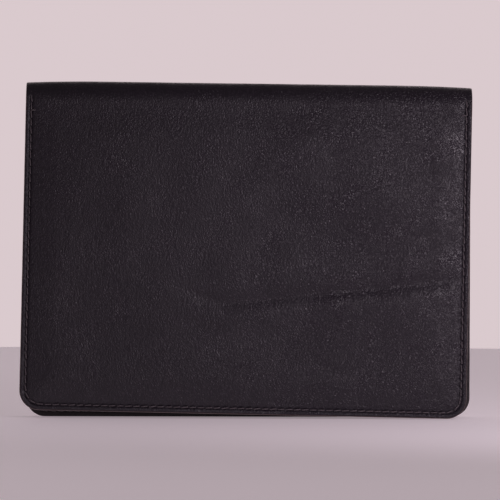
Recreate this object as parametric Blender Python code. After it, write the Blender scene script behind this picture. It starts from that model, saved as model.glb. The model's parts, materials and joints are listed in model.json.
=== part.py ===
"""Leather passport holder: a bifold cover with a rolled spine, pockets and seams.

The holder stands on the long free edges of its two covers, with its spine on top.
+X runs along the spine, +Y points out of the back cover, and +Z is up.

Every piece is drawn flat, as a maker would cut it, and the folding is done by a chain
of empties. Each empty sits on one fold line of the spine and turns the rest by one
fold angle. A flat point is (u, w): u runs along the fold lines, and w runs across them
from the back cover's free edge to the front cover's. The depth of a layer is counted
inwards from the holder's outer surface, so it is minus the empty's own Y.
"""

import math

import bmesh
import bpy
from mathutils import Vector

MM = 0.001

# Driving dimensions of the holder.
HOLDER_LENGTH = 140.0 * MM
COVER_HEIGHT = 101.0 * MM
CLOSED_THICKNESS = 13.5 * MM
CORNER_RADIUS = 6.0 * MM
FOLD_SKEW = math.radians(0.55)
SPLAY = math.radians(3.0)
FLOOR_CLEARANCE = 0.1 * MM

# Thickness of each layer, and the air between two layers.
OUTER_LEATHER = 1.1 * MM
STIFFENER = 0.5 * MM
LINING = 0.4 * MM
POCKET_LEATHER = 0.8 * MM
SLOT_LEATHER = 0.6 * MM
LAYER_GAP = 0.2 * MM
FOLD_GAP = 0.3 * MM

# Places of the inner pieces.
STIFFENER_MARGIN = 4.0 * MM
POCKET_MARGIN = 5.5 * MM
SLOT_COUNT = 3
FIRST_SLOT_DROP = 28.0 * MM
SLOT_PITCH = 14.0 * MM
CARD_DEPTH = 56.0 * MM

# Seams: the round-the-edge seam and the seams of the card slots.
SEAM_INSET = 1.7 * MM
SEAM_START = 1.5 * MM
GROOVE_WIDTH = 0.9 * MM
GROOVE_DEPTH = 0.6 * MM
SLOT_GROOVE_DEPTH = 0.4 * MM
THREAD_WIDTH = 0.5 * MM
THREAD_THICKNESS = 0.3 * MM
SLOT_THREAD_THICKNESS = 0.2 * MM
THREAD_RECESS = 0.1 * MM

CORNER_STEPS = 8
CUTTER_REACH = 1.0 * MM

# The spine is folded on four lines, with a flat strip between each two of them.
STRIP_COUNT = 3
FOLD_COUNT = STRIP_COUNT + 1
FOLD_ANGLE = (math.pi - SPLAY) / FOLD_COUNT
STRIP_WIDTH = CLOSED_THICKNESS / (1.0 + math.sqrt(2.0))
FOLD_LINES = [STRIP_WIDTH * (index - STRIP_COUNT / 2.0) for index in range(FOLD_COUNT)]
BACK_FOLD = FOLD_LINES[0]
FRONT_FOLD = FOLD_LINES[-1]
HALF_LENGTH = HOLDER_LENGTH / 2.0
BACK_REACH = COVER_HEIGHT - BACK_FOLD / math.cos(FOLD_SKEW)

# Depth at which each layer starts.
STIFFENER_DEPTH = OUTER_LEATHER + LAYER_GAP
LINING_DEPTH = STIFFENER_DEPTH + STIFFENER + LAYER_GAP
POCKET_DEPTH = LINING_DEPTH + LINING + LAYER_GAP
FIRST_SLOT_DEPTH = POCKET_DEPTH + POCKET_LEATHER + LAYER_GAP
SLOT_STEP = SLOT_LEATHER + LAYER_GAP


def clear_scene():
    for old in list(bpy.data.objects):
        bpy.data.objects.remove(old, do_unlink=True)


def make_material(name, color, roughness):
    material = bpy.data.materials.new(name)
    material.use_nodes = True
    shader = material.node_tree.nodes["Principled BSDF"]
    shader.inputs["Base Color"].default_value = (*color, 1.0)
    shader.inputs["Roughness"].default_value = roughness
    shader.inputs["Metallic"].default_value = 0.0
    return material


def make_empty(name, parent, location, rotation):
    empty = bpy.data.objects.new(name, None)
    empty.empty_display_size = 0.01
    empty.location = location
    empty.rotation_euler = rotation
    empty.parent = parent
    bpy.context.scene.collection.objects.link(empty)
    return empty


def flat_point(p, q):
    """Turn (p, q), measured square to the leather's cut edges, into (u, w)."""
    u = p * math.cos(FOLD_SKEW) - q * math.sin(FOLD_SKEW)
    w = p * math.sin(FOLD_SKEW) + q * math.cos(FOLD_SKEW)
    return (u, w)


def side_point(p, w):
    """The point at w on the line p, which runs parallel to the leather's side edges."""
    q = (w - p * math.sin(FOLD_SKEW)) / math.cos(FOLD_SKEW)
    return flat_point(p, q)


def corner(p_sign, q_end, inset):
    """Round one free corner of a cover, for an edge that runs inset inside the cut edge."""
    q_sign = math.copysign(1.0, q_end)
    radius = max(CORNER_RADIUS - inset, 0.0)
    centre_p = p_sign * (HALF_LENGTH - inset - radius)
    centre_q = q_end - q_sign * (inset + radius)
    points = []
    for step in range(CORNER_STEPS + 1):
        angle = math.pi / 2.0 * step / CORNER_STEPS
        p = centre_p + p_sign * radius * math.cos(angle)
        q = centre_q + q_sign * radius * math.sin(angle)
        points.append(flat_point(p, q))
    return points


def slab(name, parent, fold_line, outer, inner, depths, material):
    """A closed solid between two outlines of flat points, at two depths."""
    mesh = bpy.data.meshes.new(name)
    build = bmesh.new()
    rings = []
    for outline, depth in zip((outer, inner), depths):
        rings.append([build.verts.new((u, -depth, w - fold_line)) for u, w in outline])
    build.faces.new(rings[0])
    build.faces.new(rings[1])
    count = len(outer)
    for index in range(count):
        after = (index + 1) % count
        build.faces.new((rings[0][index], rings[0][after], rings[1][after], rings[1][index]))
    bmesh.ops.recalc_face_normals(build, faces=build.faces)
    build.to_mesh(mesh)
    build.free()
    mesh.materials.append(material)
    solid = bpy.data.objects.new(name, mesh)
    solid.parent = parent
    bpy.context.scene.collection.objects.link(solid)
    return solid


def cut_away(solid, cutter):
    cutter.hide_render = True
    cutter.display_type = "WIRE"
    modifier = solid.modifiers.new("groove", "BOOLEAN")
    modifier.operation = "DIFFERENCE"
    modifier.solver = "EXACT"
    modifier.object = cutter


def fold_clearance(depth):
    """How far a layer stops from its fold line, so that it folds without touching."""
    return FOLD_GAP / 2.0 + depth * math.tan(FOLD_ANGLE / 2.0)


def cover_outline(fold_line, q_end, top, inset=0.0, p_high=HALF_LENGTH):
    """Outline of a cover's layer: from top, its distance from the fold line, to q_end."""
    w_top = fold_line + math.copysign(top, q_end)
    p_low = inset - HALF_LENGTH
    p_high = min(p_high, HALF_LENGTH - inset)
    points = [side_point(p_low, w_top), side_point(p_high, w_top)]
    q_low = q_end - math.copysign(inset, q_end)
    if p_high < HALF_LENGTH - inset:
        points.append(flat_point(p_high, q_low))
    else:
        points.extend(corner(1.0, q_end, inset))
    points.extend(reversed(corner(-1.0, q_end, inset)))
    return points


def seam_run(fold_line, q_end, inset, start):
    """One side, the free edge and the other side, inset inside the cut edge."""
    w_top = fold_line + math.copysign(start, q_end)
    run = [side_point(inset - HALF_LENGTH, w_top)]
    run.extend(corner(-1.0, q_end, inset))
    run.extend(reversed(corner(1.0, q_end, inset)))
    run.append(side_point(HALF_LENGTH - inset, w_top))
    return run


def seam_band(fold_line, q_end, width):
    """Outline of a band of the given width that follows the round-the-edge seam."""
    half = width / 2.0
    outside = seam_run(fold_line, q_end, SEAM_INSET - half, SEAM_START - half)
    inside = seam_run(fold_line, q_end, SEAM_INSET + half, SEAM_START - half)
    return outside + inside[::-1]


def make_cover_layers(side, frame, fold_line, q_end, materials):
    """Outer leather with its sewn groove, thread, stiffener board and lining."""
    outer = cover_outline(fold_line, q_end, fold_clearance(0.0))
    inner = cover_outline(fold_line, q_end, fold_clearance(OUTER_LEATHER))
    depths = (0.0, OUTER_LEATHER)
    leather = slab(side + "_outer_leather", frame, fold_line, outer, inner, depths, materials["leather"])

    groove = seam_band(fold_line, q_end, GROOVE_WIDTH)
    depths = (-CUTTER_REACH, GROOVE_DEPTH)
    cutter = slab(side + "_groove_cutter", frame, fold_line, groove, groove, depths, materials["thread"])
    cut_away(leather, cutter)

    thread = seam_band(fold_line, q_end, THREAD_WIDTH)
    depths = (THREAD_RECESS, THREAD_RECESS + THREAD_THICKNESS)
    slab(side + "_seam_thread", frame, fold_line, thread, thread, depths, materials["thread"])

    board = cover_outline(fold_line, q_end, STIFFENER_MARGIN, inset=STIFFENER_MARGIN)
    depths = (STIFFENER_DEPTH, STIFFENER_DEPTH + STIFFENER)
    slab(side + "_stiffener", frame, fold_line, board, board, depths, materials["board"])

    depths = (LINING_DEPTH, LINING_DEPTH + LINING)
    outer = cover_outline(fold_line, q_end, fold_clearance(depths[0]))
    inner = cover_outline(fold_line, q_end, fold_clearance(depths[1]))
    slab(side + "_lining", frame, fold_line, outer, inner, depths, materials["lining"])


def make_pocket(name, frame, fold_line, q_end, material):
    """A full-width pocket, sewn on three sides and open towards the spine."""
    outline = cover_outline(fold_line, q_end, POCKET_MARGIN)
    depths = (POCKET_DEPTH, POCKET_DEPTH + POCKET_LEATHER)
    slab(name, frame, fold_line, outline, outline, depths, material)


def slot_seam(fold_line, q_end, mouth, width):
    """Outline of an L: along a card slot's spine side, then across at the card's depth."""
    q_sign = math.copysign(1.0, q_end)
    half = width / 2.0
    w_side = fold_line + q_sign * (POCKET_MARGIN + SEAM_INSET)
    q_far = q_end - q_sign * (SEAM_INSET + GROOVE_WIDTH - half)
    stop = mouth - CARD_DEPTH
    start = mouth - SEAM_INSET + half
    return [
        side_point(start, w_side - q_sign * half),
        side_point(start, w_side + q_sign * half),
        side_point(stop + half, w_side + q_sign * half),
        flat_point(stop + half, q_far),
        flat_point(stop - half, q_far),
        side_point(stop - half, w_side - q_sign * half),
    ]


def make_card_slots(frame, fold_line, q_end, materials):
    """Stacked slots that open towards the holder's right end, each sewn with an L seam."""
    for index in range(SLOT_COUNT):
        number = str(index + 1)
        mouth = HALF_LENGTH - FIRST_SLOT_DROP - index * SLOT_PITCH
        depth = FIRST_SLOT_DEPTH + index * SLOT_STEP
        face = depth + SLOT_LEATHER
        outline = cover_outline(fold_line, q_end, POCKET_MARGIN, p_high=mouth)
        slot = slab("card_slot_" + number, frame, fold_line, outline, outline, (depth, face), materials["pocket"])

        groove = slot_seam(fold_line, q_end, mouth, GROOVE_WIDTH)
        depths = (face - SLOT_GROOVE_DEPTH, face + CUTTER_REACH)
        name = "slot_groove_cutter_" + number
        cutter = slab(name, frame, fold_line, groove, groove, depths, materials["thread"])
        cut_away(slot, cutter)

        thread = slot_seam(fold_line, q_end, mouth, THREAD_WIDTH)
        depths = (face - THREAD_RECESS - SLOT_THREAD_THICKNESS, face - THREAD_RECESS)
        slab("card_slot_thread_" + number, frame, fold_line, thread, thread, depths, materials["thread"])


def strip_outline(index, depth):
    """Outline of one spine strip at a depth: it narrows inwards, like a barrel stave."""
    clearance = fold_clearance(depth)
    w_low = FOLD_LINES[index] + clearance
    w_high = FOLD_LINES[index + 1] - clearance
    return [
        side_point(-HALF_LENGTH, w_low),
        side_point(HALF_LENGTH, w_low),
        side_point(HALF_LENGTH, w_high),
        side_point(-HALF_LENGTH, w_high),
    ]


def make_spine_strip(index, frame, materials):
    layers = [
        ("spine_leather_", 0.0, OUTER_LEATHER, materials["leather"]),
        ("spine_lining_", LINING_DEPTH, LINING, materials["lining"]),
    ]
    for name, depth, thickness, material in layers:
        depths = (depth, depth + thickness)
        outer = strip_outline(index, depths[0])
        inner = strip_outline(index, depths[1])
        slab(name + str(index + 1), frame, FOLD_LINES[index], outer, inner, depths, material)


def front_height(front_matrix, q_end):
    """Height of the front cover's lowest corner, for a front half that ends at q_end."""
    u, w = flat_point(HALF_LENGTH - CORNER_RADIUS, q_end - CORNER_RADIUS)
    centre = Vector((u, -POCKET_DEPTH - POCKET_LEATHER, w - FRONT_FOLD))
    return (front_matrix @ centre).z - CORNER_RADIUS


def front_reach(front_matrix):
    """Length of the front half that just clears the floor at its lowest corner."""
    height = front_height(front_matrix, BACK_REACH)
    slope = (front_height(front_matrix, 2.0 * BACK_REACH) - height) / BACK_REACH
    return BACK_REACH + (FLOOR_CLEARANCE - height) / slope


def centre_on_footprint(root):
    """Move the whole holder so that its box is centred on X and Y."""
    bpy.context.view_layer.update()
    points = []
    for solid in bpy.data.objects:
        if solid.type == "MESH" and not solid.hide_render:
            points.extend(solid.matrix_world @ vertex.co for vertex in solid.data.vertices)
    for axis in (0, 1):
        low = min(point[axis] for point in points)
        high = max(point[axis] for point in points)
        root.location[axis] -= (low + high) / 2.0


def make_holder():
    materials = {
        "leather": make_material("black_calf_leather", (0.020, 0.016, 0.021), 0.45),
        "pocket": make_material("black_pocket_leather", (0.022, 0.018, 0.022), 0.5),
        "lining": make_material("black_lining_cloth", (0.016, 0.014, 0.017), 0.85),
        "board": make_material("grey_stiffener_board", (0.25, 0.24, 0.22), 0.8),
        "thread": make_material("black_thread", (0.014, 0.012, 0.014), 0.4),
    }

    height = BACK_REACH + BACK_FOLD * math.cos(FOLD_SKEW)
    back = make_empty("back_cover_frame", None, (0.0, 0.0, height), (0.0, FOLD_SKEW, 0.0))
    frames = []
    parent = back
    start = BACK_FOLD
    for index, fold_line in enumerate(FOLD_LINES):
        name = "fold_" + str(index + 1)
        parent = make_empty(name, parent, (0.0, 0.0, fold_line - start), (FOLD_ANGLE, 0.0, 0.0))
        start = fold_line
        frames.append(parent)
    bpy.context.view_layer.update()
    front = frames[-1]
    front_end = front_reach(front.matrix_world)

    make_cover_layers("back", back, BACK_FOLD, -BACK_REACH, materials)
    make_pocket("slip_pocket", back, BACK_FOLD, -BACK_REACH, materials["pocket"])
    make_card_slots(back, BACK_FOLD, -BACK_REACH, materials)
    for index in range(STRIP_COUNT):
        make_spine_strip(index, frames[index], materials)
    make_cover_layers("front", front, FRONT_FOLD, front_end, materials)
    make_pocket("passport_sleeve", front, FRONT_FOLD, front_end, materials["pocket"])
    centre_on_footprint(back)


clear_scene()
make_holder()
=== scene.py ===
import json
import math

import bmesh
import bpy
import numpy as np
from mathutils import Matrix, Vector


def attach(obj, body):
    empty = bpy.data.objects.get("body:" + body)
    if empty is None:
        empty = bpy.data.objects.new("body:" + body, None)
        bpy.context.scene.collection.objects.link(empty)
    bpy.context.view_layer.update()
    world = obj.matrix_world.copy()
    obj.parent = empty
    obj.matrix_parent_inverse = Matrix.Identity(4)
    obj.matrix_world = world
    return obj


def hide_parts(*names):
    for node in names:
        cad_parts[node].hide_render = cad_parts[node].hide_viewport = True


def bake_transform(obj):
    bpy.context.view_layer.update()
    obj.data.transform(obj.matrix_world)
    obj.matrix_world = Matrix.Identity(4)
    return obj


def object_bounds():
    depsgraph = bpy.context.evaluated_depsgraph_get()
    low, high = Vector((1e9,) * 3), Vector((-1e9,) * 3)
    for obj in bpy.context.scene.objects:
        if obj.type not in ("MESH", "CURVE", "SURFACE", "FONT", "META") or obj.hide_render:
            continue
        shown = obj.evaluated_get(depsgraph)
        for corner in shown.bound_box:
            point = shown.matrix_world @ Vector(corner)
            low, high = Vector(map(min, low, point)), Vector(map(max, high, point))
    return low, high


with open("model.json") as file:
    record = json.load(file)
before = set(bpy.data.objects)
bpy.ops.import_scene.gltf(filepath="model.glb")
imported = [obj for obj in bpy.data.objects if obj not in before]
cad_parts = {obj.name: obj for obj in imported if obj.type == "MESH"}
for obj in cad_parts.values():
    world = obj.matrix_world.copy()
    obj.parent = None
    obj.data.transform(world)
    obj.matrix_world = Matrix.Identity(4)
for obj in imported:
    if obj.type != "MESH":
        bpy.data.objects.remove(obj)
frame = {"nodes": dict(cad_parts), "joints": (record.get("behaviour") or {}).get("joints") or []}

cad_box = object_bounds()

# ---------------------------------------------------------------------------
# Outer leather. One skin of black calf 1.1 mm thick, cut flat a little askew to the fold
# and rolled over the spine, plump inside its seam and drawn down by it. It is made here as
# two covers and two strips of the roll, each piece lying over one hinge only.
# ---------------------------------------------------------------------------
MM = 0.001

# Every piece is drawn flat, as u along the spine and w across it, and folded with the skin.
hinges = sorted(frame["joints"], key=lambda joint: joint["name"])
hinge_points = np.array([hinge["pos_m"] for hinge in hinges])
fold_angle = math.radians(hinges[0]["range_deg"][1])
along = -np.array(hinges[0]["axis"])
along /= np.linalg.norm(along)
skew = -math.asin(along[2])

strip = float(np.linalg.norm(hinge_points[1] - hinge_points[0]))
roll_radius = strip / 2.0 / math.tan(fold_angle / 2.0)
roll_turn = fold_angle * len(hinges)
roll_half = strip * len(hinges) / 2.0
first_strip = (hinge_points[1] - hinge_points[0]) / strip
first_normal = np.cross(first_strip, along)
back_up = first_strip * math.cos(fold_angle) + first_normal * math.sin(fold_angle)
back_out = np.cross(back_up, along)
roll_centre = hinge_points[0] - back_up * strip / 2.0 - back_out * roll_radius
roll_length = float(np.ptp(np.array(frame["nodes"]["back_outer_leather"].bound_box)[:, 0]))

# The roll sags a little towards its two open ends.
END_DROOP = 0.55 * MM
DROOP_REACH = 24.0 * MM


def folded(u, w, depth):
    """Where flat points lie once folded. depth counts inwards from the outer skin."""
    u, w, depth = np.broadcast_arrays(u, w, depth)
    on_roll = np.clip(w, -roll_half, roll_half)
    turn = (on_roll / roll_half + 1.0) / 2.0 * roll_turn
    out = back_out * np.cos(turn)[..., None] + back_up * np.sin(turn)[..., None]
    onward = back_up * np.cos(turn)[..., None] - back_out * np.sin(turn)[..., None]
    near_end = 1.0 - np.clip((roll_length / 2.0 - np.abs(u)) / DROOP_REACH, 0.0, 1.0)
    droop = END_DROOP * near_end ** 2 * np.maximum(np.sin(turn), 0.0) ** 2
    place = roll_centre + out * (roll_radius - depth - droop)[..., None]
    return place + onward * (w - on_roll)[..., None] + along * u[..., None]


def outward(w):
    """The outer skin's normal at w, once folded."""
    turn = (np.clip(w, -roll_half, roll_half) / roll_half + 1.0) / 2.0 * roll_turn
    return back_out * np.cos(turn)[..., None] + back_up * np.sin(turn)[..., None]


def to_flat(p, q):
    """(u, w) of a point measured square to the leather's cut edges."""
    return p * math.cos(skew) - q * math.sin(skew), p * math.sin(skew) + q * math.cos(skew)


def across(p, w):
    """q of the point at w on a line p that runs parallel to the side edges."""
    return (w - p * math.sin(skew)) / math.cos(skew)


def laid_flat(node, side):
    """Lowest and highest (p, q, depth) of a CAD piece, laid flat on its cover; side is -1 at the back."""
    points = np.array([vertex.co for vertex in frame["nodes"][node].data.vertices])
    start = folded(0.0, side * roll_half, 0.0)
    out = outward(np.array(side * roll_half))
    u = (points - start) @ along
    w = side * roll_half + (points - start) @ np.cross(along, out)
    p = u * math.cos(skew) + w * math.sin(skew)
    q = w * math.cos(skew) - u * math.sin(skew)
    flat = np.stack([p, q, -(points - start) @ out], -1)
    return flat.min(0), flat.max(0)


def fold_stop(index):
    """The middle of a strip, or the roll's end, where one hinge's bend meets the next."""
    return folded(0.0, (index - len(hinges) / 2.0) * strip, 0.0)


back_low, back_high = laid_flat("back_outer_leather", -1)
front_high = laid_flat("front_outer_leather", 1)[1]
half_length = float(back_high[0] - back_low[0]) / 2.0
free_edge = {-1: float(back_low[1]), 1: float(front_high[1])}
leather_thickness = float(back_high[2])

# p and q are a flat point's places along and across the leather's own cut edges.
CORNER = 6.0 * MM
SEAM_INSET = 1.7 * MM
SEAM_FADE = 1.6 * MM
STITCH_PITCH = 2.5 * MM
GRID_STEP = STITCH_PITCH / 4.0
ROLL_STEPS = 18
CORNER_STEPS = 12
SQUARE_BAND = 12.0 * MM
NEAR_EDGE = [0.0, 0.08, 0.2, 0.4, 0.7, 1.0, 1.25, 1.45, 1.6, 1.75, 1.9, 2.1, 2.5, 3.0, 3.6, 4.3, 5.1]
EDGE_INSETS = np.array(NEAR_EDGE) * MM
TINY = 1e-9


def smooth(x):
    """An even ramp from 0 to 1, level at both ends."""
    x = np.clip(x, 0.0, 1.0)
    return x * x * (3.0 - 2.0 * x)


def spaced(length, step, fine_start=True):
    """Distances from 0 to length, a step apart, and closer at the end and at a fine start."""
    start = EDGE_INSETS if fine_start else np.array([0.0])
    end = length - EDGE_INSETS[::-1]
    count = max(int(round((end[0] - start[-1]) / step)), 1)
    middle = np.linspace(start[-1], end[0], count + 1)[1:-1]
    return np.concatenate([start, middle, end])


def cover_grid(side, w_start, step, p_high=half_length, fine_top=False):
    """Grid of flat points of a cover, from w_start to its free edge, with rounded free corners.

    Rows run from the spine to the free edge, and turn parallel to it in the last SQUARE_BAND.
    Returns p, q and the inset from the sewn edges.
    """
    columns = -half_length + spaced(p_high + half_length, step)
    reach = abs(free_edge[side])
    rows_in = []
    if abs(w_start) < roll_half - 0.001 * MM:
        ramp = smooth(np.linspace(0.0, 1.0, ROLL_STEPS + 1))[:-1]
        rows_in = list(abs(w_start) + ramp * (roll_half - abs(w_start)))
    flat_start = max(abs(w_start), roll_half)
    gaps = spaced(reach - flat_start, step, fine_top)
    p = np.tile(columns, (len(rows_in) + len(gaps), 1))
    q = np.zeros_like(p)
    for index, w in enumerate(rows_in):
        q[index] = across(columns, side * w)
    top = across(columns, side * flat_start)
    full = (free_edge[side] - top) * side
    for index, gap in enumerate(gaps):
        left = gaps[-1] - gap
        stretched = SQUARE_BAND + (left - SQUARE_BAND) * (full - SQUARE_BAND) / (gaps[-1] - SQUARE_BAND)
        q[len(rows_in) + index] = free_edge[side] - side * np.where(left < SQUARE_BAND, left, stretched)
    x = (np.abs(p) - (half_length - CORNER)) / CORNER
    y = (side * q - (reach - CORNER)) / CORNER
    in_corner = (x > TINY) & (y > TINY)
    ring = np.maximum(x, y)
    below = math.pi / 4 * y / np.maximum(x, TINY)
    above = math.pi / 2 - math.pi / 4 * x / np.maximum(y, TINY)
    angle = np.where(x >= y, below, above)
    centre = half_length - CORNER
    p = np.where(in_corner, np.sign(p) * (centre + CORNER * ring * np.cos(angle)), p)
    q = np.where(in_corner, side * (reach - CORNER + CORNER * ring * np.sin(angle)), q)
    inset = np.where(in_corner, CORNER * (1.0 - ring), np.minimum(half_length - np.abs(p), reach - side * q))
    return p, q, np.maximum(inset, 0.0)


def strip_grid(w_from, w_to, step):
    """Grid of flat points over one part of the roll, between two values of w."""
    columns = -half_length + spaced(2.0 * half_length, step)
    rows = w_from + (w_to - w_from) * smooth(np.linspace(0.0, 1.0, ROLL_STEPS + 1))
    p, w = np.meshgrid(columns, rows, indexing="xy")
    return p, across(p, w), half_length - np.abs(p)


def seam_path(side, inset, w_start):
    """Flat (p, q) points of the seam: down one side, along the free edge, and up the other side."""
    radius = CORNER - inset
    centre_p = half_length - CORNER
    centre_q = free_edge[side] - side * CORNER
    left = [(-half_length + inset, across(-half_length + inset, w_start))]
    for step in range(CORNER_STEPS + 1):
        angle = math.pi / 2 * step / CORNER_STEPS
        left.append((-centre_p - radius * math.cos(angle), centre_q + side * radius * math.sin(angle)))
    right = [(-p, q) for p, q in left[:0:-1]]
    right.append((half_length - inset, across(half_length - inset, w_start)))
    return np.array(left + right)


def evenly(path, count):
    """count points spaced evenly along a path."""
    length = np.concatenate([[0.0], np.cumsum(np.linalg.norm(np.diff(path, axis=0), axis=1))])
    wanted = np.linspace(0.0, length[-1], count)
    return np.stack([np.interp(wanted, length, path[:, axis]) for axis in range(path.shape[1])], -1)


def stitch_count(path):
    """How many needle holes a path takes at the stitch pitch."""
    return int(round(np.linalg.norm(np.diff(path, axis=0), axis=1).sum() / STITCH_PITCH)) + 1


SEAM_TOP = 1.5 * strip + 0.5 * MM
seam_lines = {side: seam_path(side, SEAM_INSET, side * SEAM_TOP) for side in (-1, 1)}
seam_holes = {side: evenly(seam_lines[side], stitch_count(seam_lines[side])) for side in (-1, 1)}


def nearest(p, q, points, reach, inset):
    """Distance from each grid point near the seam to the nearest of some points, and reach elsewhere."""
    found = np.full(p.shape, reach)
    near = np.abs(inset - SEAM_INSET) < reach
    gap = np.hypot(p[near][:, None] - points[:, 0], q[near][:, None] - points[:, 1])
    found[near] = np.minimum(gap.min(1), reach)
    return found


# Waves in the skin, as (length, height) in millimetres, each run along four headings.
wave_rng = np.random.default_rng(11)
WAVES = [(18.0, 0.030), (27.0, 0.050), (38.0, 0.070), (55.0, 0.080)]
waves = []
for wavelength, height in WAVES:
    for heading in wave_rng.uniform(0.0, math.pi, 4):
        waves.append((wavelength * MM, heading, wave_rng.uniform(0.0, 2.0 * math.pi), height * MM))


def undulation(u, w):
    """The slow rise and fall of soft leather over its board."""
    total = np.zeros(np.broadcast(u, w).shape)
    for wavelength, heading, phase, height in waves:
        onward = u * math.cos(heading) + w * math.sin(heading)
        total += height * np.sin(2 * math.pi / wavelength * onward + phase)
    return total


# A long soft dent across the front cover, as (u, distance up from the free edge) in mm.
DENT_LINE = np.array([(-30.0, 42.5), (-8.0, 34.5), (22.0, 37.5), (45.0, 40.5), (69.0, 43.5)]) * MM
DENT_DEPTH = 0.74 * MM
DENT_WIDTH = 2.0 * MM
DENT_WANDER = 0.3 * MM
DENT_WANDER_LENGTH = 11.0 * MM
SHOULDER_BELOW = 0.30 * MM
SHOULDER_ABOVE = 0.08 * MM


def dent(u, w):
    """Height of the front cover's long dent: a crease with a soft shoulder on each side."""
    up = free_edge[1] - w
    line = np.interp(u, DENT_LINE[:, 0], DENT_LINE[:, 1])
    line = line + DENT_WANDER * np.sin(u / DENT_WANDER_LENGTH)
    fade_in = smooth((u + 27.0 * MM) / (25.0 * MM))
    fade_out = 0.25 * smooth((u - 50.0 * MM) / (20.0 * MM))
    gap = (up - line) / DENT_WIDTH
    crease = -DENT_DEPTH * np.exp(-np.abs(gap) ** 1.6)
    below = SHOULDER_BELOW * np.exp(-((gap + 2.4) / 2.0) ** 2)
    above = SHOULDER_ABOVE * np.exp(-((gap - 3.0) / 2.4) ** 2)
    return fade_in * (1.0 - fade_out) * (crease + (below + above))


ROUNDED_LIP = 0.34 * MM
PLUMP = 0.17 * MM
PLUMP_REACH = 4.2 * MM
GROOVE_DEPTH = 0.25 * MM
GROOVE_WIDTH = 0.50 * MM
HOLE_DEPTH = 0.20 * MM
HOLE_RADIUS = 0.50 * MM
PULL_DEPTH = 0.14 * MM
PULL_RADIUS = 1.05 * MM
PULL_REACH = 2.6 * MM
PAD_HEIGHT = 0.40 * MM
BELLY_HEIGHT = 0.70 * MM


def rounded_lip(inset, lip):
    """How far a cut edge's rounding falls below the face, at some inset from the edge."""
    return np.where(inset < lip, lip - np.sqrt(np.maximum(lip ** 2 - (lip - inset) ** 2, 0.0)), 0.0)


def skin_relief(p, q, inset, side):
    """How far the outer skin stands out from its nominal face: edge, seam, plumpness and dents."""
    u, w = to_flat(p, q)
    relief = -rounded_lip(inset, ROUNDED_LIP)
    sewn = smooth((np.abs(w) - SEAM_TOP + 0.4 * MM) / SEAM_FADE) if side else np.zeros_like(w)
    from_seam = inset - SEAM_INSET
    sunk = np.exp(-(from_seam / GROOVE_WIDTH) ** 2)
    plump = smooth(from_seam / PLUMP_REACH) - 1.0
    relief += sewn * np.where(from_seam > 0, PLUMP * plump, -PLUMP + 0.06 * MM * (1 - sunk))
    relief -= sewn * GROOVE_DEPTH * sunk
    if side:
        to_hole = nearest(p, q, seam_holes[side], PULL_REACH, inset)
        relief -= sewn * HOLE_DEPTH * np.exp(-(to_hole / HOLE_RADIUS) ** 2)
        pull = np.exp(-(to_hole / PULL_RADIUS) ** 2) * smooth((PULL_REACH - to_hole) / PULL_REACH)
        relief -= sewn * PULL_DEPTH * pull * (from_seam > -0.3 * MM)
    # The waves and the padding both die away towards the seam and the roll.
    from_roll = np.abs(w) - roll_half
    settled = smooth((inset - 3.0 * MM) / (14.0 * MM)) * smooth(from_roll / (16.0 * MM))
    relief += undulation(u, w) * settled
    padded = smooth(from_seam / (9.0 * MM)) * smooth(from_roll / (12.0 * MM))
    relief += padded * (PAD_HEIGHT + BELLY_HEIGHT * (1.0 - (u / half_length) ** 2))
    if side == 1:
        relief += dent(u, w) * smooth((inset - 1.9 * MM) / (5.0 * MM))
    return relief


def mark_flat(mesh, flat):
    """Keep each vertex's place on the flat skin as the UV map that the materials read."""
    corners = np.zeros(len(mesh.loops), np.int32)
    mesh.loops.foreach_get("vertex_index", corners)
    layer = mesh.uv_layers.new(name="flat")
    layer.data.foreach_set("uv", flat[corners].astype(np.float32).ravel())


def put_in_scene(name, data):
    """A new object that holds a mesh, a light or a camera."""
    new_object = bpy.data.objects.new(name, data)
    bpy.context.scene.collection.objects.link(new_object)
    return new_object


def solid_between(name, p, q, outer_depth, inner_depth, face_material, wall_material, inner_material=None):
    """A closed piece between two depths over a grid of flat points, folded into place."""
    u, w = to_flat(p, q)
    outer = folded(u, w, outer_depth)
    inner = folded(u, w, inner_depth)
    rows, columns = p.shape
    count = rows * columns
    index = np.arange(count).reshape(rows, columns)
    quads = np.stack([index[:-1, :-1], index[:-1, 1:], index[1:, 1:], index[1:, :-1]], -1).reshape(-1, 4)
    rim = np.concatenate([index[0, :-1], index[:-1, -1], index[-1, :0:-1], index[:0:-1, 0]])
    after = np.roll(rim, -1)
    walls = np.stack([after, rim, rim + count, after + count], -1)
    faces = np.concatenate([quads, quads[:, ::-1] + count, walls])
    middle = rows // 2, columns // 2
    edge_a = outer[middle[0], middle[1] + 1] - outer[middle]
    edge_b = outer[middle[0] + 1, middle[1]] - outer[middle]
    if np.dot(np.cross(edge_a, edge_b), outer[middle] - inner[middle]) < 0:
        faces = faces[:, ::-1]
    mesh = bpy.data.meshes.new(name)
    points = np.concatenate([outer.reshape(-1, 3), inner.reshape(-1, 3)])
    mesh.from_pydata(points.tolist(), [], faces.tolist())
    slots = np.zeros(len(faces), np.int32)
    slots[len(quads):2 * len(quads)] = 2
    slots[2 * len(quads):] = 1
    for material in (face_material, wall_material, inner_material or face_material):
        mesh.materials.append(material)
    mesh.polygons.foreach_set("material_index", slots)
    flat = np.stack([u.ravel(), w.ravel()], -1)
    mark_flat(mesh, np.concatenate([flat, flat]))
    mesh.shade_smooth()
    mesh.set_sharp_from_angle(angle=math.radians(50.0))
    mesh.update()
    return put_in_scene(name, mesh)


def add_node(tree, kind, inputs=(), **settings):
    """A new node with its settings made, and each input given a value or joined to an output."""
    node = tree.nodes.new(kind)
    for key, value in settings.items():
        setattr(node, key, value)
    for key, value in dict(inputs).items():
        if isinstance(value, bpy.types.NodeSocket):
            tree.links.new(value, node.inputs[key])
        else:
            node.inputs[key].default_value = value
    return node


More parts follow.
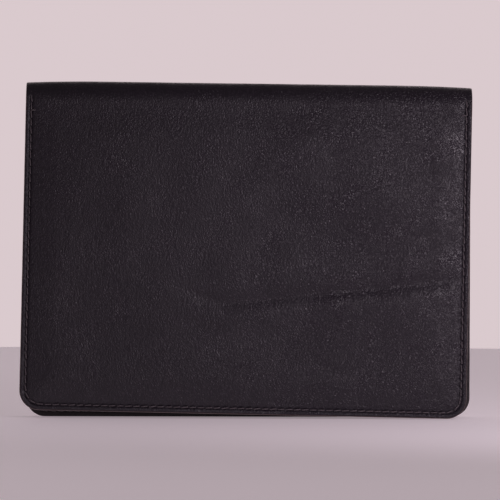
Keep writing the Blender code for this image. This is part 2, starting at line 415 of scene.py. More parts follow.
class Nodes:
    """Short hand for building a material's nodes."""

    def __init__(self, name):
        self.material = bpy.data.materials.new(name)
        self.material.use_nodes = True
        self.tree = self.material.node_tree
        self.shader = self.tree.nodes["Principled BSDF"]

    def add(self, kind, inputs=(), **settings):
        return add_node(self.tree, kind, inputs, **settings)

    def maths(self, operation, a, b=0.0):
        return self.add("ShaderNodeMath", {0: a, 1: b}, operation=operation).outputs[0]

    def ranged(self, value, low, high, to_low=0.0, to_high=1.0, smoothed=True):
        """A value's place between low and high, carried over to another range."""
        kind = "SMOOTHSTEP" if smoothed else "LINEAR"
        names = {"Value": value, "From Min": low, "From Max": high, "To Min": to_low, "To Max": to_high}
        return self.add("ShaderNodeMapRange", names, interpolation_type=kind).outputs["Result"]

    def flat_mm(self, scale=(1.0, 1.0, 1.0)):
        """The piece's flat coordinates in millimetres, stretched by scale."""
        flat = self.add("ShaderNodeUVMap", uv_map="flat").outputs["UV"]
        factors = tuple(factor / MM for factor in scale)
        return self.add("ShaderNodeVectorMath", {0: flat, 1: factors}, operation="MULTIPLY").outputs[0]

    def noise(self, vector, scale, detail=2.0, roughness=0.5, distortion=0.0):
        values = {
            "Vector": vector,
            "Scale": scale,
            "Detail": detail,
            "Roughness": roughness,
            "Distortion": distortion,
        }
        return self.add("ShaderNodeTexNoise", values).outputs["Fac"]

    def mixed(self, factor, first, second):
        """A colour between two others."""
        return self.add("ShaderNodeMix", {0: factor, 6: first, 7: second}, data_type="RGBA").outputs[2]

    def bump(self, height, distance):
        return self.add("ShaderNodeBump", {"Height": height, "Distance": distance}).outputs["Normal"]

    def finish(self, color=None, roughness=None, normal=None, **plain):
        """Join or set the shader's sockets, plain ones by value only, and give the material."""
        for key, value in (("Base Color", color), ("Roughness", roughness), ("Normal", normal)):
            if value is None:
                continue
            if isinstance(value, bpy.types.NodeSocket):
                self.tree.links.new(value, self.shader.inputs[key])
            else:
                self.shader.inputs[key].default_value = value
        for key, value in plain.items():
            self.shader.inputs[key.replace("_", " ")].default_value = value
        return self.material


def calf_leather(name, deep, pale, grain_mm, grain_depth, roughness):
    """Black aniline calf: pebbled grain with fine pores, drawn wrinkles, and a soft even sheen."""
    make = Nodes(name)
    flat = make.flat_mm()
    wander = make.add("ShaderNodeTexNoise", {"Vector": flat, "Scale": 0.9, "Detail": 2.0}).outputs["Color"]
    half = (0.5, 0.5, 0.5)
    shifted = make.add("ShaderNodeVectorMath", {0: wander, 1: half}, operation="SUBTRACT").outputs[0]
    shifted = make.add("ShaderNodeVectorMath", {0: shifted, "Scale": 1.3}, operation="SCALE").outputs[0]
    wandering = make.add("ShaderNodeVectorMath", {0: flat, 1: shifted}, operation="ADD").outputs[0]
    sizes = {"Vector": wandering, "Scale": 1.0 / grain_mm}
    cells = make.add("ShaderNodeTexVoronoi", sizes, feature="DISTANCE_TO_EDGE")
    pebble = make.ranged(cells.outputs["Distance"], 0.02, 0.30)
    fine_sizes = {"Vector": wandering, "Scale": 2.4 / grain_mm}
    fine_cells = make.add("ShaderNodeTexVoronoi", fine_sizes, feature="SMOOTH_F1")
    fine = make.maths("SUBTRACT", 1.0, fine_cells.outputs["Distance"])
    drawn = make.ranged(make.noise(make.flat_mm((1.1, 0.45, 1.0)), 1.2, 3.0, 0.55, 1.3), 0.34, 0.70)
    patch = make.noise(flat, 0.05, 3.0, 0.6)
    along_and_across = make.add("ShaderNodeSeparateXYZ", {0: flat}).outputs
    toward_head = make.ranged(along_and_across["X"], -50.0, 66.0, -0.25, 0.30)
    toward_edge = make.ranged(make.maths("ABSOLUTE", along_and_across["Y"]), 25.0, 80.0, 0.6, 1.2)
    pebbled = make.ranged(make.maths("ADD", patch, toward_head), 0.38, 0.66)
    coarse = make.maths("MULTIPLY", pebble, make.ranged(pebbled, 0.0, 1.0, 0.55, 1.35, smoothed=False))
    wrinkled = make.maths("MULTIPLY", drawn, make.ranged(pebbled, 0.0, 1.0, 0.65, 0.3, smoothed=False))
    wrinkled = make.maths("MULTIPLY", wrinkled, toward_edge)
    height = make.maths("ADD", coarse, make.maths("MULTIPLY", fine, 0.5))
    height = make.maths("ADD", height, wrinkled)
    height = make.maths("ADD", height, make.maths("MULTIPLY", make.noise(flat, 4.0, 2.0, 0.5), 0.25))
    bumped = make.bump(height, grain_depth)
    mottle = make.noise(flat, 0.11, 4.0, 0.6, 0.6)
    tone = make.maths("ADD", make.maths("MULTIPLY", mottle, 0.7), make.maths("MULTIPLY", pebble, 0.3))
    color = make.mixed(make.ranged(tone, 0.35, 0.8), (*deep, 1.0), (*pale, 1.0))
    gloss = make.maths("ADD", make.ranged(mottle, 0.3, 0.7, 0.08, -0.08), roughness)
    gloss = make.maths("SUBTRACT", gloss, make.maths("MULTIPLY", pebbled, 0.05))
    return make.finish(color, gloss, bumped, Specular_IOR_Level=0.5, IOR=1.48)


def painted_edge():
    """Cut edges: burnished and painted in dark red-brown, with the paint's slight waves."""
    make = Nodes("painted_edge")
    flat = make.flat_mm()
    waves_in_paint = make.noise(flat, 0.8, 3.0, 0.55)
    specks = make.noise(flat, 4.0, 2.0)
    dark = (0.060, 0.031, 0.032, 1.0)
    light = (0.084, 0.045, 0.045, 1.0)
    color = make.mixed(make.ranged(waves_in_paint, 0.35, 0.65), dark, light)
    normal = make.bump(make.maths("ADD", waves_in_paint, make.maths("MULTIPLY", specks, 0.3)), 0.02 * MM)
    gloss = make.ranged(specks, 0.3, 0.7, 0.26, 0.42)
    return make.finish(color, gloss, normal, Specular_IOR_Level=0.5)


def raw_flesh():
    """The fuzzy flesh side of the calf, which the lining covers."""
    make = Nodes("calf_flesh_side")
    flat = make.flat_mm()
    fibres = make.noise(flat, 3.0, 4.0, 0.7, 1.5)
    color = make.mixed(fibres, (0.014, 0.011, 0.013, 1.0), (0.030, 0.024, 0.028, 1.0))
    return make.finish(color, 0.9, make.bump(fibres, 0.08 * MM))


calf = calf_leather(
    "black_calf",
    deep=(0.0115, 0.0080, 0.0142),
    pale=(0.0230, 0.0170, 0.0262),
    grain_mm=0.85,
    grain_depth=0.085 * MM,
    roughness=0.38,
)
edge_paint = painted_edge()
flesh = raw_flesh()


def bend_over(piece, hinge_index):
    """Bake a piece's transform into its mesh; the middles of the strips about its hinge are found but not
    used.
    """
    start = fold_stop(hinge_index)
    end = fold_stop(hinge_index + 1)
    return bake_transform(piece)


for side, word, hinge_index in ((-1, "back", 0), (1, "front", 3)):
    p, q, inset = cover_grid(side, side * strip, GRID_STEP)
    relief = skin_relief(p, q, inset, side)
    cover = solid_between(word + "_cover_leather", p, q, -relief, leather_thickness, calf, edge_paint, flesh)
    bend_over(cover, hinge_index)
    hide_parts(word + "_outer_leather")

roll_skins = ((1, "rear", ["spine_leather_1"]), (2, "fore", ["spine_leather_2", "spine_leather_3"]))
for hinge_index, word, replaced in roll_skins:
    w_from = (hinge_index - 2) * strip
    p, q, inset = strip_grid(w_from, w_from + strip, GRID_STEP * 2)
    relief = skin_relief(p, q, inset, 0)
    roll = solid_between("spine_roll_" + word, p, q, -relief, leather_thickness, calf, edge_paint, flesh)
    bend_over(roll, hinge_index)
    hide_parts(*replaced)

# ---------------------------------------------------------------------------
# Painted edges. The layers are trimmed flush after sewing, sanded round, and sealed
# with edge paint, which stands a little proud of the leather as a smooth bead.
# ---------------------------------------------------------------------------
lining_low, lining_high = laid_flat("back_lining", -1)
lining_depth = float(lining_low[2])
lining_thickness = float(lining_high[2] - lining_low[2])
GLUE = 0.02 * MM
skin_stack = leather_thickness + lining_thickness + 2 * GLUE
BEAD_PROUD = 0.13 * MM
BEAD_TUCK = 0.30 * MM
BEAD_STEP = 0.7 * MM
BEAD_SIDES = 8
STEP_RAMP = 1.2 * MM

pocket_nodes = {1: "passport_sleeve", -1: "slip_pocket"}
slot_nodes = ["card_slot_1", "card_slot_2", "card_slot_3"]
pocket_boxes = {side: laid_flat(node, side) for side, node in pocket_nodes.items()}
slot_boxes = [laid_flat(node, -1) for node in slot_nodes]
pocket_thickness = float(pocket_boxes[1][1][2] - pocket_boxes[1][0][2])
slot_thickness = float(slot_boxes[0][1][2] - slot_boxes[0][0][2])
mouth_w = {}
for side, (low, high) in pocket_boxes.items():
    mouth_q = high[1] if side < 0 else low[1]
    mouth_w[side] = float(side * abs(to_flat(0.0, mouth_q + side * half_length * math.tan(skew))[1]))


def stack_depth(side, p, q):
    """Thickness of the sewn stack at a flat point: skin, lining, pocket and, at the back, card slots."""
    w = to_flat(p, q)[1]
    past_mouth = smooth((side * (w - mouth_w[side]) + 0.3 * MM) / STEP_RAMP)
    depth = skin_stack + (pocket_thickness + GLUE) * past_mouth
    if side < 0:
        for low, high in slot_boxes:
            depth = depth + (slot_thickness + GLUE) * past_mouth * smooth((high[0] - p) / STEP_RAMP)
    return depth


def bead_along(name, path, depths):
    """A bead of edge paint along a path on the cut edge, as thick as the stack there."""
    tangent = np.gradient(path, axis=0)
    tangent /= np.linalg.norm(tangent, axis=1)[:, None]
    proud = np.stack([tangent[:, 1], -tangent[:, 0]], -1)
    middle = np.array([0.0, np.sign(path[:, 1].mean()) * 40.0 * MM])
    if ((path - middle) * proud).sum() < 0:
        proud = -proud
    turns = np.linspace(-math.pi / 2, math.pi / 2, BEAD_SIDES + 1)
    offsets = np.concatenate([[-BEAD_TUCK], BEAD_PROUD * np.cos(turns) - 0.02 * MM, [-BEAD_TUCK]])
    shares = np.concatenate([[0.16], 0.5 + 0.46 * np.sin(turns), [0.84]])
    wobble = 1.0 + 0.12 * np.sin(np.arange(len(path)) * 0.55) * np.sin(np.arange(len(path)) * 0.21)
    p = path[:, 0, None] + proud[:, 0, None] * offsets * wobble[:, None]
    q = path[:, 1, None] + proud[:, 1, None] * offsets * wobble[:, None]
    u, w = to_flat(p, q)
    points = folded(u, w, depths[:, None] * shares)
    rows, columns = p.shape
    index = np.arange(rows * columns).reshape(rows, columns)
    after = np.roll(index, -1, axis=1)
    quads = np.stack([index[:-1], after[:-1], after[1:], index[1:]], -1).reshape(-1, 4).tolist()
    faces = quads + [index[0, ::-1].tolist(), index[-1].tolist()]
    mesh = bpy.data.meshes.new(name)
    mesh.from_pydata(points.reshape(-1, 3).tolist(), [], faces)
    build = bmesh.new()
    build.from_mesh(mesh)
    bmesh.ops.recalc_face_normals(build, faces=build.faces)
    build.to_mesh(mesh)
    build.free()
    mark_flat(mesh, np.stack([u.ravel(), w.ravel() + np.tile(shares, rows) * 3.0 * MM], -1))
    mesh.materials.append(edge_paint)
    mesh.shade_smooth()
    mesh.set_sharp_from_angle(angle=math.radians(60.0))
    piece = put_in_scene(name, mesh)
    return piece


for side, word, hinge_index in ((-1, "back", 0), (1, "front", 3)):
    path = seam_path(side, 0.0, side * strip)
    path = evenly(path, int(np.linalg.norm(np.diff(path, axis=0), axis=1).sum() / BEAD_STEP))
    bead = bead_along(word + "_edge_paint", path, stack_depth(side, path[:, 0], path[:, 1]))
    bend_over(bead, hinge_index)

for hinge_index, word in ((1, "rear"), (2, "fore")):
    w = (hinge_index - 2 + np.linspace(0.0, 1.0, ROLL_STEPS)) * strip
    for end, end_word in ((-1, "foot"), (1, "head")):
        path = np.stack([np.full(len(w), end * half_length), across(end * half_length, w)], -1)
        roll_bead = bead_along("spine_edge_paint_" + word + "_" + end_word, path, np.full(len(w), skin_stack))
        bend_over(roll_bead, hinge_index)

# ---------------------------------------------------------------------------
# Stiffener boards. Grey bonded leather board, die cut, one glued inside each cover.
# They are sealed in between the skin and the lining.
# ---------------------------------------------------------------------------


def bonded_board():
    """Grey board of pressed leather fibre: matt, flecked and a little rough."""
    make = Nodes("bonded_leather_board")
    place = make.add("ShaderNodeTexCoord").outputs["Object"]
    fibres = make.noise(place, 900.0, 5.0, 0.7, 1.2)
    flecks = make.noise(place, 2600.0, 2.0)
    color = make.mixed(make.ranged(fibres, 0.3, 0.7), (0.17, 0.16, 0.145, 1.0), (0.33, 0.315, 0.29, 1.0))
    height = make.maths("ADD", fibres, make.maths("MULTIPLY", flecks, 0.4))
    return make.finish(color, 0.85, make.bump(height, 0.05 * MM))


board = bonded_board()
for node in ("back_stiffener", "front_stiffener"):
    frame["nodes"][node].data.materials.clear()
    frame["nodes"][node].data.materials.append(board)

# ---------------------------------------------------------------------------
# Linings. Fine black twill glued to the flesh side over a board in each cover, and
# over the bare leather in the roll, where it is the only layer under the skin.
# ---------------------------------------------------------------------------
INNER_STEP = 2.2 * MM
BOARD_RAMP = 2.2 * MM
EASE_REACH = 4.0 * MM


def eased(inset, tight, loose):
    """Depth of a layer: tight against its neighbours in the seam, and loose inside it."""
    return tight + (loose - tight) * smooth((inset - SEAM_INSET - 0.4 * MM) / EASE_REACH)


def twill():
    """Fine twill: diagonal ribs of twisted yarn, matt, with faint slubs."""
    make = Nodes("twill_lining")
    flat = make.flat_mm()
    rib_sizes = {"Vector": flat, "Scale": 0.62, "Distortion": 0.6, "Detail": 1.0, "Detail Scale": 3.0}
    ribs = make.add("ShaderNodeTexWave", rib_sizes, wave_type="BANDS", bands_direction="DIAGONAL")
    yarn_sizes = {"Vector": flat, "Scale": 1.1, "Distortion": 0.4}
    yarn = make.add("ShaderNodeTexWave", yarn_sizes, wave_type="BANDS", bands_direction="X")
    weave = make.maths("ADD", ribs.outputs["Fac"], make.maths("MULTIPLY", yarn.outputs["Fac"], 0.45))
    slub = make.noise(flat, 0.5, 3.0)
    dark = (0.009, 0.008, 0.010, 1.0)
    light = (0.030, 0.027, 0.031, 1.0)
    color = make.mixed(make.maths("MULTIPLY", weave, slub), dark, light)
    return make.finish(color, 0.85, make.bump(weave, 0.07 * MM), Sheen_Weight=0.25, Sheen_Roughness=0.5)


lining_cloth = twill()


def lining_depths(p, q, inset):
    """Depths of the lining's two faces: on the skin in the roll, and over the board past it."""
    w = to_flat(p, q)[1]
    off_roll = smooth((np.abs(w) - roll_half) / BOARD_RAMP)
    on_skin = leather_thickness + GLUE
    outer = eased(inset, on_skin, on_skin + (lining_depth - leather_thickness) * off_roll)
    return outer, outer + lining_thickness


roll_linings = ((1, "rear", ["spine_lining_1"]), (2, "fore", ["spine_lining_2", "spine_lining_3"]))
for hinge_index, word, replaced in roll_linings:
    w_from = (hinge_index - 2) * strip
    p, q, inset = strip_grid(w_from, w_from + strip, INNER_STEP)
    outer, inner = lining_depths(p, q, inset)
    lining = solid_between("roll_lining_" + word, p, q, outer, inner, lining_cloth, lining_cloth)
    bend_over(lining, hinge_index)
    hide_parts(*replaced)

for side, word, hinge_index in ((-1, "back", 0), (1, "front", 3)):
    p, q, inset = cover_grid(side, side * strip, INNER_STEP)
    outer, inner = lining_depths(p, q, inset)
    lining = solid_between(word + "_cover_lining", p, q, outer, inner, lining_cloth, lining_cloth)
    bend_over(lining, hinge_index)
    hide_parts(word + "_lining")

# ---------------------------------------------------------------------------
# Passport sleeve and slip pocket. Skived black calf 0.8 mm thick, one in each cover,
# sewn in on three sides. The mouth faces the spine; it has a creased line along it.
# ---------------------------------------------------------------------------
pocket_calf = calf_leather(
    "black_pocket_calf",
    deep=(0.0150, 0.0100, 0.0120),
    pale=(0.0270, 0.0190, 0.0215),
    grain_mm=0.6,
    grain_depth=0.05 * MM,
    roughness=0.46,
)
LIP_CREASE = 2.0 * MM
CREASE_DEPTH = 0.11 * MM
CREASE_WIDTH = 0.24 * MM
DRAWN_DEPTH = 0.12 * MM
DRAWN_WIDTH = 0.40 * MM
GAPE = 0.4 * MM


def creased(distance):
    """Relief of a mouth: a rounded lip, then a line creased into the leather beside it."""
    line = CREASE_DEPTH * np.exp(-((distance - LIP_CREASE) / CREASE_WIDTH) ** 2)
    return rounded_lip(distance, 0.25 * MM) + line


def sewn_down(distance):
    """Relief of the line where stitches draw a layer down, at some distance from its edge."""
    return DRAWN_DEPTH * np.exp(-((distance - SEAM_INSET) / DRAWN_WIDTH) ** 2)


def pocket_face(side, p, q, inset):
    """Depth of a pocket's face, before its mouth and seams are worked."""
    low, high = pocket_boxes[side]
    from_mouth = np.abs(to_flat(p, q)[1] - mouth_w[side])
    gape = GAPE * smooth((inset - 8.0 * MM) / (40.0 * MM)) * (1.0 - smooth(from_mouth / (16.0 * MM)))
    slack = eased(inset, skin_stack, float(low[2])) + (gape if side > 0 else 0.0)
    return slack + pocket_thickness


for side, node in pocket_nodes.items():
    p, q, inset = cover_grid(side, mouth_w[side], INNER_STEP / 2.0, fine_top=True)
    from_mouth = np.abs(to_flat(p, q)[1] - mouth_w[side])
    face = pocket_face(side, p, q, inset)
    worked = face - creased(from_mouth) - sewn_down(inset)
    under = face - pocket_thickness
    pocket = solid_between(node + "_calf", p, q, under, worked, flesh, edge_paint, pocket_calf)
    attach(pocket, "front_cover" if side > 0 else "back_cover")
    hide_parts(node)

# ---------------------------------------------------------------------------
# Card slots. Three steps of calf 0.6 mm thick, stacked on the slip pocket, with their
# mouths towards the holder's head. Each is held by an L of stitches.
# ---------------------------------------------------------------------------


def slot_face(number, p, q, inset):
    """Depth of a card slot's face, before its mouth and seams are worked."""
    tight = skin_stack + pocket_thickness + GLUE + number * (slot_thickness + GLUE)
    return eased(inset, tight, float(slot_boxes[number][0][2])) + slot_thickness


for number, node in enumerate(slot_nodes):
    mouth = float(slot_boxes[number][1][0])
    p, q, inset = cover_grid(-1, mouth_w[-1], INNER_STEP / 2.0, p_high=mouth, fine_top=True)
    from_top = np.abs(to_flat(p, q)[1] - mouth_w[-1])
    face = slot_face(number, p, q, inset)
    worked = face - creased(mouth - p) - sewn_down(inset) - sewn_down(from_top)
    under = face - slot_thickness
    slot_piece = solid_between(node + "_calf", p, q, under, worked, flesh, edge_paint, pocket_calf)
    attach(slot_piece, "back_cover")
    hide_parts(node)

# ---------------------------------------------------------------------------
# Seams. Waxed black thread in a saddle stitch, eight stitches in 20 mm, laid in a
# creased groove. Each stitch is a short arch of twisted thread, a little aslant.
# ---------------------------------------------------------------------------
THREAD_RADIUS = 0.23 * MM
STITCH_LENGTH = 1.95 * MM
TACK_LENGTH = 1.4 * MM
ARCH_SHARE = 1.1
SEAM_SINK = 0.07 * MM
INNER_SINK = 0.03 * MM
TACK_SINK = 0.12 * MM
SLOT_SEAM_SINK = 0.12 * MM


def waxed_thread():
    """Waxed black thread: two plies twisted together, dark grey with a painted highlight on each ply's crown,
    and a dull shine along the top.
    """
    make = Nodes("waxed_thread")
    run = make.add("ShaderNodeAttribute", attribute_name="run").outputs["Fac"]
    around = make.add("ShaderNodeAttribute", attribute_name="around").outputs["Fac"]
    twist = make.maths("MULTIPLY", run, 34.0)
    phase = make.maths("ADD", twist, make.maths("MULTIPLY", around, 4.0 * math.pi))
    ply = make.maths("SINE", phase)
    place = make.add("ShaderNodeTexCoord").outputs["Object"]
    wax = make.noise(place, 1800.0, 2.0)
    height = make.maths("ADD", ply, make.maths("MULTIPLY", wax, 0.5))
    between = (0.026, 0.021, 0.024, 1.0)
    # Painted highlight: each ply's crown is coloured lighter than the thread's own dark grey, where the wax
    # would catch the light.
    crown_tone_and_painted_highlight = (0.150, 0.126, 0.140, 1.0)
    color = make.mixed(make.ranged(ply, -1.0, 1.0), between, crown_tone_and_painted_highlight)
    gloss = make.ranged(wax, 0.3, 0.7, 0.24, 0.36)
    return make.finish(color, gloss, make.bump(height, 0.03 * MM), Specular_IOR_Level=0.5)


def saddle_stitch():
    """A node tree that sets arched stitches along a path lying on the leather."""
    tree = bpy.data.node_groups.new("saddle_stitch", "GeometryNodeTree")
    face = tree.interface
    face.new_socket("Path", in_out="INPUT", socket_type="NodeSocketGeometry")
    for label, kind in (
        ("Stitches", "NodeSocketInt"),
        ("Stitch Length", "NodeSocketFloat"),
        ("Thread Radius", "NodeSocketFloat"),
        ("Arch", "NodeSocketFloat"),
        ("Slant", "NodeSocketFloat"),
        ("Seed", "NodeSocketInt"),
        ("Thread", "NodeSocketMaterial"),
    ):
        face.new_socket(label, in_out="INPUT", socket_type=kind)
    face.new_socket("Stitched", in_out="OUTPUT", socket_type="NodeSocketGeometry")

    def add(kind, inputs=(), **settings):
        return add_node(tree, kind, inputs, **settings)

    given = add("NodeGroupInput").outputs
    curve = add("GeometryNodeMeshToCurve", {"Mesh": given["Path"]}).outputs["Curve"]
    spaced_out = add("GeometryNodeResampleCurve", {"Curve": curve, "Count": given["Stitches"]}, mode="COUNT")
    spots = spaced_out.outputs["Curve"]
    normal = add("GeometryNodeInputNamedAttribute", {"Name": "outward"}, data_type="FLOAT_VECTOR")
    tangent = add("GeometryNodeInputTangent").outputs[0]
    directions = {"Primary Axis": normal.outputs["Attribute"], "Secondary Axis": tangent}
    axes = add("FunctionNodeAxesToRotation", directions, primary_axis="Z", secondary_axis="X").outputs[0]
    low = add("ShaderNodeMath", {0: given["Slant"], 1: 0.4}, operation="MULTIPLY").outputs[0]
    high = add("ShaderNodeMath", {0: given["Slant"], 1: 1.6}, operation="MULTIPLY").outputs[0]
    slant = add("FunctionNodeRandomValue", {2: low, 3: high, 8: given["Seed"]}, data_type="FLOAT").outputs[1]
    aslant = add("FunctionNodeAxisAngleToRotation", {"Axis": (0.0, 0.0, 1.0), "Angle": slant}).outputs[0]
    turned = add("FunctionNodeRotateRotation", {0: axes, 1: aslant}, rotation_space="LOCAL").outputs[0]
    size = add("FunctionNodeRandomValue", {2: 0.94, 3: 1.05, 8: given["Seed"]}, data_type="FLOAT").outputs[1]

    half = add("ShaderNodeMath", {0: given["Stitch Length"], 1: 0.5}, operation="MULTIPLY").outputs[0]
    back = add("ShaderNodeMath", {0: half, 1: -1.0}, operation="MULTIPLY").outputs[0]
    dip = add("ShaderNodeMath", {0: given["Arch"], 1: -1.0}, operation="MULTIPLY").outputs[0]
    start = add("ShaderNodeCombineXYZ", {"X": back, "Z": dip}).outputs[0]
    middle = add("ShaderNodeCombineXYZ", {"Z": given["Arch"]}).outputs[0]
    end = add("ShaderNodeCombineXYZ", {"X": half, "Z": dip}).outputs[0]
    bow = {"Resolution": 7, "Start": start, "Middle": middle, "End": end}
    arch = add("GeometryNodeCurveQuadraticBezier", bow).outputs[0]
    share = add("GeometryNodeSplineParameter").outputs["Factor"]
    kept = {"data_type": "FLOAT", "domain": "POINT"}
    run_values = {"Geometry": arch, "Name": "run", "Value": share}
    run = add("GeometryNodeStoreNamedAttribute", run_values, **kept).outputs[0]
    half_turn = add("ShaderNodeMath", {0: share, 1: math.pi}, operation="MULTIPLY").outputs[0]
    wave = add("ShaderNodeMath", {0: half_turn}, operation="SINE").outputs[0]
    swelling = {"Value": wave, "From Min": 0.0, "From Max": 0.7, "To Min": 0.62, "To Max": 1.0}
    fuller = add("ShaderNodeMapRange", swelling).outputs[0]
    swelled = add("GeometryNodeSetCurveRadius", {"Curve": run, "Radius": fuller}).outputs[0]
    round_thread = {"Resolution": 8, "Radius": given["Thread Radius"]}
    ring = add("GeometryNodeCurvePrimitiveCircle", round_thread).outputs[0]
    turn = add("GeometryNodeSplineParameter").outputs["Factor"]
    around_values = {"Geometry": ring, "Name": "around", "Value": turn}
    marked = add("GeometryNodeStoreNamedAttribute", around_values, **kept).outputs[0]
    swept = {"Curve": swelled, "Profile Curve": marked, "Fill Caps": True}
    stitch = add("GeometryNodeCurveToMesh", swept).outputs[0]
    laid = {"Points": spots, "Instance": stitch, "Rotation": turned, "Scale": size}
    placed = add("GeometryNodeInstanceOnPoints", laid).outputs[0]
    real = add("GeometryNodeRealizeInstances", {"Geometry": placed}).outputs[0]
    soft = add("GeometryNodeSetShadeSmooth", {"Geometry": real, "Shade Smooth": True}).outputs[0]
    finished = add("GeometryNodeSetMaterial", {"Geometry": soft, "Material": given["Thread"]}).outputs[0]
    add("NodeGroupOutput", {"Stitched": finished})
    return tree


thread = waxed_thread()
stitch_tree = saddle_stitch()


def sew(name, flat_path, depths, facing, seed, length=STITCH_LENGTH, radius=THREAD_RADIUS, slant=0.10):
    """Stitches along a flat path at the given depths; facing is 1 on the outer side and -1 inside."""
    u, w = to_flat(flat_path[:, 0], flat_path[:, 1])
    points = folded(u, w, depths)
    normals = outward(w) * facing
    mesh = bpy.data.meshes.new(name + "_path")
    mesh.from_pydata(points.tolist(), [(index, index + 1) for index in range(len(points) - 1)], [])
    attribute = mesh.attributes.new("outward", "FLOAT_VECTOR", "POINT")
    attribute.data.foreach_set("vector", normals.astype(np.float32).ravel())
    guide = put_in_scene(name + "_path", mesh)
    modifier = guide.modifiers.new("stitches", "NODES")
    modifier.node_group = stitch_tree
    reach = np.linalg.norm(np.diff(points, axis=0), axis=1).sum()
    values = {
        "Stitches": max(int(round(reach / STITCH_PITCH)), 2),
        "Stitch Length": length,
        "Thread Radius": radius,
        "Arch": radius * ARCH_SHARE,
        "Slant": slant,
        "Seed": seed,
        "Thread": thread,
    }
    for item in stitch_tree.interface.items_tree:
        if item.in_out == "INPUT" and item.name in values:
            modifier[item.identifier] = values[item.name]
    bpy.context.view_layer.update()
    evaluated = guide.evaluated_get(bpy.context.evaluated_depsgraph_get())
    stitched = bpy.data.meshes.new_from_object(evaluated)
    stitched.name = name
    bpy.data.objects.remove(guide)
    return put_in_scene(name, stitched)


def between_holes(holes):
    """The points half way between two holes, where a stitch lies."""
    return (holes[1:] + holes[:-1]) / 2.0


for side, word, hinge_index in ((-1, "back", 0), (1, "front", 3)):
    spots = between_holes(seam_holes[side])
    outer_seam = sew(word + "_seam_outside", spots, np.full(len(spots), SEAM_SINK), 1, 3 + side)
    inner_depths = stack_depth(side, spots[:, 0], spots[:, 1])
    inner_seam = sew(word + "_seam_inside", spots, inner_depths - INNER_SINK, -1, 7 + side, slant=-0.10)
    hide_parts(word + "_seam_thread")
    line = half_length - SEAM_INSET
    tacks = []
    for p_line in (-line, line):
        mouth_q = across(p_line, mouth_w[side])
        inward = -np.sign(p_line)
        tacks.append(np.array([(p_line + inward * 0.5 * MM, mouth_q), (p_line + inward * 0.7 * MM, mouth_q)]))
    tack_names = (word + "_back_tack_foot", word + "_back_tack_head")
    back_tacks = [
        sew(tack_name, tack, np.full(len(tack), TACK_SINK), 1, 40 + side, length=TACK_LENGTH)
        for tack_name, tack in zip(tack_names, tacks)
    ]
    for seam in (outer_seam, inner_seam, *back_tacks):
        bend_over(seam, hinge_index)

for number in range(len(slot_nodes)):
    low, high = laid_flat("card_slot_thread_" + str(number + 1), -1)
    stop = float(low[0]) + THREAD_RADIUS
    mouth = float(slot_boxes[number][1][0])
    w_line = mouth_w[-1] - SEAM_INSET
    start = mouth - SEAM_INSET
    corner = (stop, across(stop, w_line))
    foot = (stop, float(low[1]) + THREAD_RADIUS)
    path = np.array([(start, across(start, w_line)), corner, foot])
    spots = evenly(path, stitch_count(path))
    inset = spots[:, 1] - free_edge[-1]
    inset = np.minimum(inset, half_length - np.abs(spots[:, 0]))
    depths = slot_face(number, spots[:, 0], spots[:, 1], inset) - SLOT_SEAM_SINK
    seam = sew("card_slot_seam_" + str(number + 1), spots, depths, -1, 20 + number,
               length=STITCH_LENGTH * 0.95, radius=THREAD_RADIUS * 0.85, slant=-0.10)
    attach(seam, "back_cover")
    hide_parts("card_slot_thread_" + str(number + 1))

# ---------------------------------------------------------------------------
# Stage: a pale round table top, a long lens a little above the table, a bright pale
# room behind the holder, and a low window at the front right.
# ---------------------------------------------------------------------------
TABLE_RADIUS = 0.6
TABLE_SIDES = 96
centre = (cad_box[0] + cad_box[1]) / 2.0
rim = [2.0 * math.pi * step / TABLE_SIDES for step in range(TABLE_SIDES)]
floor_mesh = bpy.data.meshes.new("floor")
rim_points = [(TABLE_RADIUS * math.cos(angle), TABLE_RADIUS * math.sin(angle), 0.0) for angle in rim]
floor_mesh.from_pydata(rim_points, [], [list(range(TABLE_SIDES))])
floor = put_in_scene("floor", floor_mesh)
FLOOR_GLOW = (1.0, 0.84, 0.92, 1.0)
floor_paint = Nodes("pale_floor").finish(
    (0.86, 0.83, 0.86, 1.0), 0.8, Emission_Color=FLOOR_GLOW, Emission_Strength=0.25)
floor_mesh.materials.append(floor_paint)

camera_data = bpy.data.cameras.new("camera")
camera_data.sensor_width = 36.0
camera_data.lens = 437.0
camera_data.clip_start = 0.01
camera_data.clip_end = 50.0
camera = put_in_scene("camera", camera_data)
bpy.context.scene.camera = camera
CAMERA_DISTANCE = 1.9
CAMERA_AZIMUTH = math.radians(-1.45)
CAMERA_PITCH = math.radians(1.2)
CAMERA_ROLL = math.radians(0.2)
aim = Vector((centre.x + 1.0 * MM, cad_box[0].y, centre.z))
away = Vector((
    math.sin(CAMERA_AZIMUTH) * math.cos(CAMERA_PITCH),
    -math.cos(CAMERA_AZIMUTH) * math.cos(CAMERA_PITCH),
    math.sin(CAMERA_PITCH),
))
camera.location = aim + away * CAMERA_DISTANCE
camera.rotation_euler = (-away).to_track_quat("-Z", "Y").to_euler()
camera.rotation_euler.rotate_axis("Z", CAMERA_ROLL)

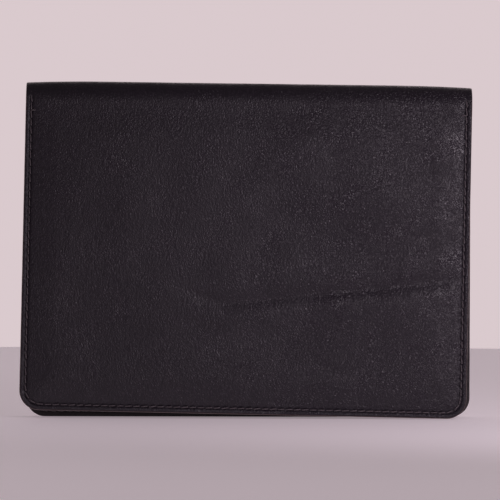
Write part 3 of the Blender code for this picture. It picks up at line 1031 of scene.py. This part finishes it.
WINDOW_PLACE = Vector((0.22, -0.32, 0.16))
WINDOW_TARGET = Vector((0.070, 0.0, 0.05))
window_data = bpy.data.lights.new("window", "AREA")
window_data.shape = "RECTANGLE"
window_data.size = 0.13
window_data.size_y = 0.13
window_data.energy = 0.092
window_data.color = (1.0, 0.86, 0.97)
window_data.spread = math.radians(70.0)
window = put_in_scene("window", window_data)
window.location = WINDOW_PLACE
window.rotation_euler = (WINDOW_TARGET - WINDOW_PLACE).to_track_quat("-Z", "Y").to_euler()

world = bpy.data.worlds.new("studio")
world.use_nodes = True
bpy.context.scene.world = world
sky = world.node_tree
background = sky.nodes["Background"]


def sky_node(kind, inputs=(), **settings):
    return add_node(sky, kind, inputs, **settings).outputs


def sky_range(value, low, high, to_low, to_high):
    values = {"Value": value, "From Min": low, "From Max": high, "To Min": to_low, "To Max": to_high}
    return sky_node("ShaderNodeMapRange", values, interpolation_type="SMOOTHSTEP")["Result"]


# The backdrop looks plain and pale, while the light it gives fades overhead and to the left.
heading = sky_node("ShaderNodeSeparateXYZ", {0: sky_node("ShaderNodeTexCoord")["Generated"]})
from_right = sky_range(heading["X"], -0.6, 0.9, 0.02, 0.18)
low_down = sky_range(heading["Z"], 0.20, 0.50, 1.0, 0.0)
in_front = sky_node("ShaderNodeMath", {0: from_right, 1: low_down}, operation="MULTIPLY")[0]
at_back = sky_range(heading["Z"], 0.30, 0.60, 1.35, 0.0)
behind = sky_range(heading["Y"], -0.05, 0.40, 0.0, 1.0)
room = sky_node("ShaderNodeMix", {0: behind, 2: in_front, 3: at_back}, data_type="FLOAT")[0]
lit = sky_node("ShaderNodeMath", {0: room, 1: 0.16}, operation="ADD")[0]
seen = sky_node("ShaderNodeLightPath")["Is Camera Ray"]
strength = sky_node("ShaderNodeMix", {0: seen, 2: lit, 3: 1.0}, data_type="FLOAT")[0]
sky.links.new(strength, background.inputs["Strength"])
background.inputs["Color"].default_value = (0.70, 0.59, 0.615, 1.0)
bpy.context.scene.view_settings.view_transform = "Standard"
